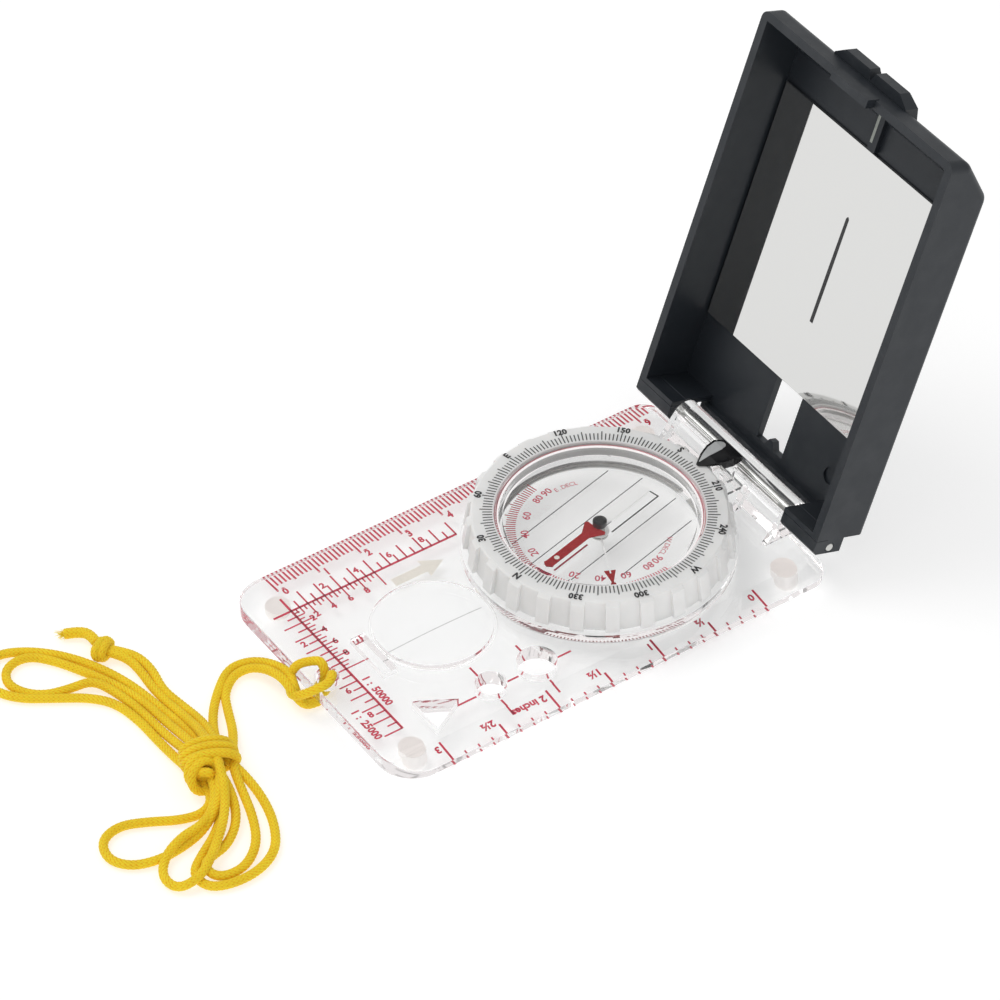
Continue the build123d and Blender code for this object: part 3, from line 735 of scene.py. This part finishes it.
STRAND_RIGHT = [
    # hitch and lead
    (-5.2, -71.0, 2.0), (-3.6, -72.6, 2.2), (-0.6, -73.4, 3.6), (1.8, -72.2, 5.6),
    (3.2, -70.4, 7.1), (3.3, -67.6, 7.2), (2.2, -65.9, 8.0), (1.0, -65.8, 6.5), (0.95, -66.0, 3.8),
    (1.0, -66.8, 1.1), (1.1, -69.6, 1.0), (0.9, -72.2, 1.7), (-1.4, -73.3, 4.3),
    *beside(LEAD, -LEAD_OFFSET),
    # hank and end knot
    (-11.2, -83.0, 1.1), (-6.8, -85.0, 1.2), (-0.6, -87.6, 1.7), (4.6, -91.0, 3.0),
    (9.4, -94.0, 4.0), (14.6, -95.2, 2.6), (20.6, -96.6, 1.2), (26.8, -99.6, 1.1),
    (30.7, -104.4, 1.2), (31.2, -109.0, 1.4), (29.9, -111.6, 1.9), (26.6, -111.6, 1.9),
    (25.2, -109.0, 1.6), (24.0, -104.4, 1.2), (19.6, -99.4, 1.6), (12.6, -96.8, 3.0),
    (6.0, -97.4, 6.0), (-1.6, -97.0, 3.8), (-9.6, -96.9, 1.8), (-18.2, -97.4, 1.2),
    (-25.4, -99.4, 1.1), (-32.0, -102.6, 1.1), (-38.0, -105.8, 1.1), (-42.4, -109.6, 1.1),
    (-42.2, -114.4, 1.1), (-38.8, -117.0, 1.1), (-34.6, -116.2, 1.1), (-31.0, -112.8, 1.1),
    (-29.4, -107.8, 1.4), (-28.6, -102.8, 1.8), (-23.4, -100.6, 1.4), (-16.4, -99.2, 1.2),
    (-8.6, -98.9, 1.4), (-1.2, -98.6, 2.8), (5.4, -98.4, 4.4), (11.6, -99.4, 3.8),
    (15.6, -102.4, 2.6), (18.2, -106.6, 2.8), (18.6, -111.6, 2.8), (20.2, -116.4, 1.6),
    (24.2, -119.6, 1.1), (28.8, -118.6, 1.2), (29.4, -113.6, 2.8), (25.4, -108.6, 3.0),
    (20.8, -103.6, 3.2), (16.0, -99.8, 4.2), (10.4, -97.2, 6.4), (4.0, -95.8, 6.8),
    (-2.4, -94.0, 4.2), (-8.8, -93.2, 2.0), (-15.0, -93.7, 1.3), (-20.8, -93.9, 1.2),
    (-25.6, -93.4, 1.3), (-29.9, -93.7, 1.6), (-33.2, -96.0, 2.0), (-35.4, -97.4, 2.1),
]
KNOT = Vector((5.6, -96.8, 4.3))
END_KNOT = Vector((-34.7, -96.8, 2.15))
END_TURN_RADIUS = 0.92
TAIL_RADIUS = 1.15
FIBRES = 46
FIBRE_RADIUS = 0.07
FIBRE_TAPER = 0.6
FIBRE_TONE = 0.8  # as if high on the braid, where the painted shade is least, so that loose fibres are pale


def knot_wrap(name, centre, across, up, half_width, half_height, lean, radius=CORD_RADIUS):
    """One turn of cord round other strands, as a closed loop leaning along them by lean millimetres."""
    along = across.cross(up)
    steps = 64
    places = []
    for i in range(steps):
        a = 2 * math.pi * i / steps
        rim = across * math.cos(a) * half_width + up * math.sin(a) * half_height
        places.append((centre + rim + along * math.sin(a + 0.6) * lean) * MM)
    return braided_tube(name, places + places[:1], closed=True, radius=radius)


def frayed_tail():
    """The cut ends beyond the end knot, with loose fibres, each a bent three-sided prism."""
    rng = random.Random(7)

    def drawn(*ranges):
        return Vector([rng.uniform(low, high) for low, high in ranges])

    route = [(-36.6, -96.9, 2.2), (-39.8, -96.4, 2.0), (-42.4, -98.0, 1.5), (-43.6, -100.6, 1.25)]
    tail = braided_tube("lanyard_tail_braid", route_points("tail", route), radius=TAIL_RADIUS)
    vertices, faces = [], []
    end, spans, sides = Vector(route[-1]), 3, 3
    for _ in range(FIBRES):
        direction = drawn((-0.9, 0.5), (-1.0, -0.2), (-0.25, 0.35)).normalized()
        start = end + drawn((-0.6, 0.6), (-0.1, 0.5), (-0.5, 0.5))
        long = rng.uniform(0.7, 1.9)
        bend = drawn((-0.4, 0.4), (-0.4, 0.4), (-0.2, 0.2))
        side = direction.orthogonal().normalized() * FIBRE_RADIUS
        other = direction.cross(side).normalized() * FIBRE_RADIUS
        base = len(vertices)
        for k in range(spans + 1):
            share = k / spans
            place = start + direction * long * share + bend * share * share
            place.z = max(0.1, place.z)
            thin = 1 - FIBRE_TAPER * share
            for away in (side, other, -(side + other)):
                vertices.append((place + away * thin) * MM)
        tip = base + spans * sides
        faces.append((base + 2, base + 1, base))
        faces.append((tip, tip + 1, tip + 2))
        for k in range(spans):
            for m in range(sides):
                a, b = base + k * sides + m, base + k * sides + (m + 1) % sides
                faces.append((a, b, b + sides, a + sides))
    fibres = mesh_object("lanyard_fray", vertices, faces, "cord", "base")
    return tail, braid_relief(fibres, [FIBRE_TONE] * len(vertices))


def hank_knot():
    """The turns of the knot round the hank, the first on the side where the end knot lies."""
    across = Vector((0.30, 0.95, 0)).normalized()
    up = Vector((0, 0, 1))
    along = across.cross(up)
    # how far each turn's middle is along, across and up from KNOT, its half width, half height and lean
    turns = (
        (-3.2, 0.0, 0.0, 4.6, 2.9, 0.5),
        (-1.4, 0.0, 0.0, 5.1, 3.2, 0.7),
        (0.4, 0.0, 0.0, 5.1, 3.2, 1.0),
        (2.0, -1.8, 0.0, 3.3, 3.0, -1.3),
        (3.7, -2.2, 0.0, 2.7, 2.6, -1.6),
        (3.6, -2.0, 0.3, 1.1, 1.2, 0.8),
    )
    wraps = []
    for i, (ahead, aside, above, half_width, half_height, lean) in enumerate(turns):
        middle = KNOT + along * ahead + across * aside + up * above
        name = f"lanyard_wrap_{i + 1}"
        wraps.append(knot_wrap(name, middle, across, up, half_width, half_height, lean))
    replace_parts(wraps[0], "lanyard_knot")
    return wraps


def end_knot():
    """The turns of the knot that ends both strands."""
    along = Vector((-0.80, -0.60, 0))
    up = Vector((0, 0, 1))
    across = up.cross(along)
    half_height = 1.2
    # how far along each turn's middle is from END_KNOT, its half width and its lean
    turns = ((-0.75, 2.1, 0.2), (0.8, 1.9, -0.3), (0.0, 2.4, 0.9))
    wraps = []
    for i, (ahead, half_width, lean) in enumerate(turns):
        name, middle = f"lanyard_end_turn_{i + 1}", END_KNOT + along * ahead
        wrap = knot_wrap(name, middle, across, up, half_width, half_height, lean, END_TURN_RADIUS)
        wraps.append(wrap)
    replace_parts(wraps[0], "lanyard_end_knot")
    return wraps


def make_lanyard():
    wraps, turns = hank_knot(), end_knot()
    tail, fibres = frayed_tail()
    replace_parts(tail, "lanyard_tail")
    ends = [*wraps, *turns, tail, fibres]
    left_nodes = ("lanyard_hitch", "lanyard_lead_left", "lanyard_upper_hank")
    right_nodes = ("lanyard_lead_right", "lanyard_lower_hank")
    for name, places, nodes, on_it in (
        ("lanyard_strand_left", STRAND_LEFT, left_nodes, ends),
        ("lanyard_strand_right", STRAND_RIGHT, right_nodes, []),
    ):
        points = route_points(name, places)
        strand = braided_tube(name, points)
        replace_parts(strand, *nodes)


make_lanyard()


# ================================================================ materials on the CAD parts
for node, key in NODE_MATERIALS.items():
    materials = NODES[node].data.materials
    materials.clear()
    materials.append(MATERIALS[key])

# ================================================================ printing on the base plate
# Widths, heights and places are in millimetres, with y along the plate and zero on the dial's axis.
BOLD = 0.055  # how much the font is thickened, as a share of a letter's height
SCALE_CORNER = (-21.04, -60.77)
CM_ZERO, CM_EDGE, CM_NUMBERS = -59.83, -31.75, -26.5
INCH_ZERO, INCH_EDGE, INCH_NUMBERS = 19.27, 31.8, 27.1
INCH = 25.4
RULER_LETTER, SCALE_LETTER, RATIO_LETTER = 1.75, 1.6, 1.7
TEMPLATE_X = 20.0
TEMPLATE_LINE = 0.45
ARROW_HEAD = 4.6
ARROW_SHAFT = 0.44  # of the head's width


def centimetre_ruler(ink):
    """Millimetre marks, longer at each 5 and 10, and a number each centimetre."""
    for k in range(94):
        reach = -27.3 if k % 10 == 0 else -28.1 if k % 5 == 0 else -28.6
        ink.line((CM_EDGE, CM_ZERO + k), (reach, CM_ZERO + k), 0.45)
    for k in range(10):
        ink.text(str(k), CM_NUMBERS, CM_ZERO + 10 * k + 1.3, RULER_LETTER, 90, 0.95, BOLD)


def map_scales(ink):
    """Two scales that share a corner: 2 mm steps outside and 1 mm steps inside."""
    x0, y0 = SCALE_CORNER
    ink.line((x0, y0 - 4.2), (x0, y0 + 40.1), 0.54)
    ink.line((x0 - 4.2, y0), (x0 + 40.1, y0), 0.54)
    for k in range(1, 21):
        reach = 4.2 if k % 2 == 0 else 2.2
        ink.line((x0 - reach, y0 + 2 * k), (x0, y0 + 2 * k), 0.38)
        ink.line((x0 + 2 * k, y0 - reach), (x0 + 2 * k, y0), 0.38)
        reach = 4.4 if k == 20 else 3.0 if k % 4 == 0 else 1.9 if k % 2 == 0 else 1.3
        ink.line((x0, y0 + k), (x0 + reach, y0 + k), 0.34)
        ink.line((x0 + k, y0), (x0 + k, y0 + reach), 0.34)
    for label in (2, 4, 6, 8):
        for x, y in (
            (x0 - 2.6, y0 + 4 * label + 1.2),
            (x0 + 4 * label + 1.5, y0 - 3.1),
            (x0 + 3.6, y0 + 2 * label - 0.1),
            (x0 + 2 * label + 0.1, y0 + 2.6),
        ):
            ink.text(str(label), x, y, SCALE_LETTER, 90, 1.0, BOLD)
    for words, x, y in (("50000", 9.3, -59.1), ("25000", 16.0, -66.1)):
        ink.text("1", x - 5.9, y, RATIO_LETTER, 0, 1.0, BOLD)
        ink.text(":", x - 4.2, y, RATIO_LETTER, 0, 1.0, BOLD)
        ink.text(words, x, y, RATIO_LETTER, 0, 0.98, BOLD)


def template_crosses(ink):
    """Lines that lead to the middle of each round template hole and stop at its rim."""
    for y, radius in ((-29.3, 4.15), (-40.4, 3.25)):
        gap = radius + 0.25
        for side in (-1, 1):
            ink.line((TEMPLATE_X + side * gap, y), (TEMPLATE_X + side * 7.5, y), TEMPLATE_LINE)
    for low, high in ((-24.9, -21.1), (-36.9, -33.8), (-49.4, -43.9)):
        ink.line((TEMPLATE_X, low), (TEMPLATE_X, high), TEMPLATE_LINE)


def inch_ruler(ink):
    """Marks each eighth of an inch, longer at each half and whole one, with numbers."""
    for k in range(25):
        y = INCH_ZERO - INCH / 8 * k
        near = 25.6 if k % 8 == 0 else 28.0 if k % 4 == 0 else 30.0
        ink.line((near, y), (INCH_EDGE, y), 0.48 if k % 4 == 0 else 0.36)
    # inches, words, and how far past the mark the words are centred
    labels = (
        (0, "0", 1.4), (0.5, "½", 1.6), (1, "1", 1.1), (1.5, "1½", 2.0),
        (2, "2 inches", 5.0), (2.5, "2½", 2.2), (3, "3", 1.3),
    )
    for inches, words, after in labels:
        y = INCH_ZERO - INCH * inches - after
        ink.text(words, INCH_NUMBERS, y, RULER_LETTER, -90, 1.0, BOLD)


def base_printing():
    """All the red printing in one piece, and the magnifier's hair line in another."""
    ink = Print(PLATE_PRINT)
    centimetre_ruler(ink)
    map_scales(ink)
    template_crosses(ink)
    inch_ruler(ink)
    ink.finish("plate_printing", "red_ink", "base")
    hair = Print(PLATE_PRINT)
    hair.line((0, -52.2), (0, -29.2), 0.14)
    hair.finish("lens_centre_line", "grey_ink", "base")


def travel_arrow():
    """The luminous arrow under the plate, laid just inside the clear face so that it shows."""
    low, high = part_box("travel_arrow")
    tail, tip = low.y / MM, high.y / MM
    middle, half = (low.x + high.x) / 2 / MM, (high.x - low.x) / 2 / MM
    neck, thin = tip - ARROW_HEAD, half * ARROW_SHAFT
    left, right = middle - thin, middle + thin
    arrow = Print(PLATE_PRINT)
    arrow.prism([(left, tail), (right, tail), (right, neck), (left, neck)])
    arrow.prism([(middle - half, neck), (middle + half, neck), (middle, tip)])
    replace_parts(arrow.finish("travel_arrow_print", "cream", "base"), "travel_arrow")


# ================================================================ printing on the dial
# Drawn with north along +Y and turned by DIAL_TURN. Angles are in degrees, from +X towards north.
def along_arc(ink, words, radius, start, step, height):
    """Letters one after another round a circle, tops outward."""
    for i, letter in enumerate(words):
        angle = start - i * step
        ink.text(letter, *around(radius, angle), height, angle - 90)


def degree_ring():
    """Two-degree marks and bearings on the bezel's top."""
    ink = Print(BEZEL_TOP, DIAL_TURN)
    for k in range(180):
        ink.ray(90 - 2 * k, 21.75, 24.3 if k % 5 == 0 else 23.7, 0.22)
    for k, words in enumerate("N 30 60 E 120 150 S 210 240 W 300 330".split()):
        angle = 90 - 30 * k
        ink.text(words, *around(25.1, angle), 1.5, angle - 90, 0.95, BOLD)
    ink.finish("degree_ring", "black_ink", "dial")


def capsule_lines():
    """North lines and the orienting box on the capsule's floor."""
    ink = Print(FLOOR_TOP, DIAL_TURN)
    lines = ((-11.2, -15.6, 6.4), (-4.5, -18.6, 17.6), (4.5, -18.6, 17.6), (11.2, -15.6, 15.6))
    for offset, low, high in lines:
        ink.line((offset, low), (offset, high), 0.2)
    foot, side, width = -16.6, 1.42, 0.32
    for offset, high in ((-side, -2.2), (side, -5.2)):
        ink.line((offset, foot), (offset, high), width)
    ink.line((-side - width / 2, foot), (side + width / 2, foot), width)
    ink.finish("north_lines", "black_ink", "dial")


def clinometer_scale():
    """Printed round the disc over the clinometer: degrees each side of north."""
    ink = Print(SCALE_TOP, DIAL_TURN)
    for k in range(-45, 46):
        ink.ray(90 + 2 * k, 17.0, 19.6 if k % 5 == 0 else 19.0, 0.26)
    for side in (-1, 1):
        for degrees in (20, 40, 60, 80, 90):
            # the numbers stand a little past their marks, and the left ones a little nearer
            place = around(14.8 - 0.3 * side, 90 + side * 1.04 * degrees)
            ink.text(str(degrees), *place, 1.7, side * degrees, 1.0, 0.02)
    for start, words in ((-11.0, "E.DECL"), (209.0, "W.DECL")):
        along_arc(ink, words, 14.3, start, 3.6, 1.15)
    for offset in (-1.3, 1.3):
        ink.line((offset, 5.2), (offset, 15.4), 0.42)
    ink.arc(17.3, 84.5, 95.5, 1.0, 6)
    ink.finish("clinometer_scale", "scale_ink", "dial")


def rim_line():
    """The pinkish line round the capsule's rim."""
    ring = Print(LID_TOP - 0.9 * MM)
    ring.arc(21.0, 0, 360, 0.34, 120)
    ring.finish("capsule_rim_line", "pink_ink", "dial")


# ================================================================ cover and pointer
# The cover is drawn lying open flat, with y from the hinge, and turned up to its angle.
COVER_PLACE = Matrix.Translation(HINGE) @ Matrix.Rotation(COVER_ANGLE, 4, "X")


def sight_line():
    """The black line down the middle of the mirror."""
    half = [(0.45, 33.9), (0.48, 46.0), (0.42, 58.5), (0.1, 58.95)]
    ink = Print(MIRROR_FACE * MM, matrix=COVER_PLACE)
    ink.prism([(-half[0][0], half[0][1]), *half, *[(-x, y) for x, y in reversed(half[1:])]])
    ink.finish("sight_line", "black_ink", "cover")


def rib_strip():
    """A painted highlight: the pale strip along the left edge of the rib above the mirror, where light
    catches its rounded edge.
    """
    left, right, low, high = -0.95, -0.25, 76.2, 88.4
    strip = Print(RIB_TOP * MM, matrix=COVER_PLACE)
    strip.prism([(left, low), (right, low), (right, high), (left, high)])
    strip.finish("rib_strip", "rib_highlight_grey", "cover")


def pointer_inlay():
    """The pale leaf let into the black pointer's left half, laid on the pointer's own surface."""
    # the leaf's left and right edges at each y
    edges = [
        (25.0, -0.45, -0.25), (26.6, -1.45, -0.25), (28.8, -2.5, -0.25),
        (30.8, -2.9, -0.3), (32.2, -2.7, -1.0), (32.7, -2.3, -1.6),
    ]
    across, between = 6, 5
    above, thickness = 0.05 * MM, 0.2 * MM
    pointer = NODES["index_pointer"]
    turn = pointer.matrix_world
    surface = BVHTree.FromPolygons(
        [turn @ v.co for v in pointer.data.vertices], [p.vertices[:] for p in pointer.data.polygons]
    )
    rows = []
    for (y0, left0, right0), (y1, left1, right1) in zip(edges, edges[1:]):
        for k in range(between):
            t = k / between
            left, right = left0 + (left1 - left0) * t, right0 + (right1 - right0) * t
            rows.append((y0 + (y1 - y0) * t, left, right))
    rows.append(edges[-1])
    # a point beyond the pointer's edge keeps the height of the one before it
    top, last = [], 15.5 * MM
    for y, left, right in rows:
        for k in range(across + 1):
            x = left + (right - left) * k / across
            hit = surface.ray_cast(Vector((x * MM, y * MM, 0.1)), Vector((0, 0, -1)))[0]
            last = hit.z if hit else last
            top.append(Vector((x * MM, y * MM, last + above)))
    wide, count, end = across + 1, len(top), len(rows) - 1
    vertices = top + [v - Vector((0, 0, thickness)) for v in top]
    faces = []
    for r in range(end):
        for k in range(across):
            a, b = r * wide + k, r * wide + k + 1
            c, d = b + wide, a + wide
            faces += [(a, b, c, d), (count + d, count + c, count + b, count + a)]
    rim = list(range(wide)) + [r * wide + across for r in range(1, end + 1)]
    rim += [end * wide + k for k in reversed(range(across))]
    rim += [r * wide for r in reversed(range(1, end))]
    for a, b in zip(rim, rim[1:] + rim[:1]):
        faces.append((b, a, count + a, count + b))
    mesh_object("pointer_inlay", vertices, faces, "inlay", "base")


def capsule_filling():
    """The clear block that the capsule and its liquid make together, as seen from outside.

    Its outline, from the foot's middle to the top's middle, lies just outside the capsule's own.
    """
    skin, bevel = 0.02, 0.4
    outer, foot = CUP_RADIUS / MM + 0.07, CUP_RADIUS / MM - 0.8 + skin
    low, high, step = CUP_LOW / MM - skin, LID_TOP / MM + skin, PLATE_LOW / MM + 1.0
    profile = [
        (0, low), (foot, low), (foot, step), (outer, step),
        (outer, high - bevel), (outer - bevel, high), (0, high),
    ]
    sides = 160
    vertices = [Vector((0, 0, low)) * MM]
    for radius, z in profile[1:-1]:
        for k in range(sides):
            a = 2 * math.pi * k / sides
            vertices.append(Vector((radius * math.cos(a), radius * math.sin(a), z)) * MM)
    vertices.append(Vector((0, 0, high)) * MM)
    last = len(vertices) - 1
    faces = []
    for k in range(sides):
        m = (k + 1) % sides
        faces.append((0, 1 + m, 1 + k))
        faces.append((last, last - sides + k, last - sides + m))
        for ring in range(len(profile) - 3):
            base = 1 + ring * sides
            faces.append((base + k, base + m, base + sides + m, base + sides + k))
    block = mesh_object("capsule_filling", vertices, faces, "filling", "dial")


capsule_filling()
base_printing()
travel_arrow()
degree_ring()
capsule_lines()
clinometer_scale()
rim_line()
sight_line()
rib_strip()
pointer_inlay()
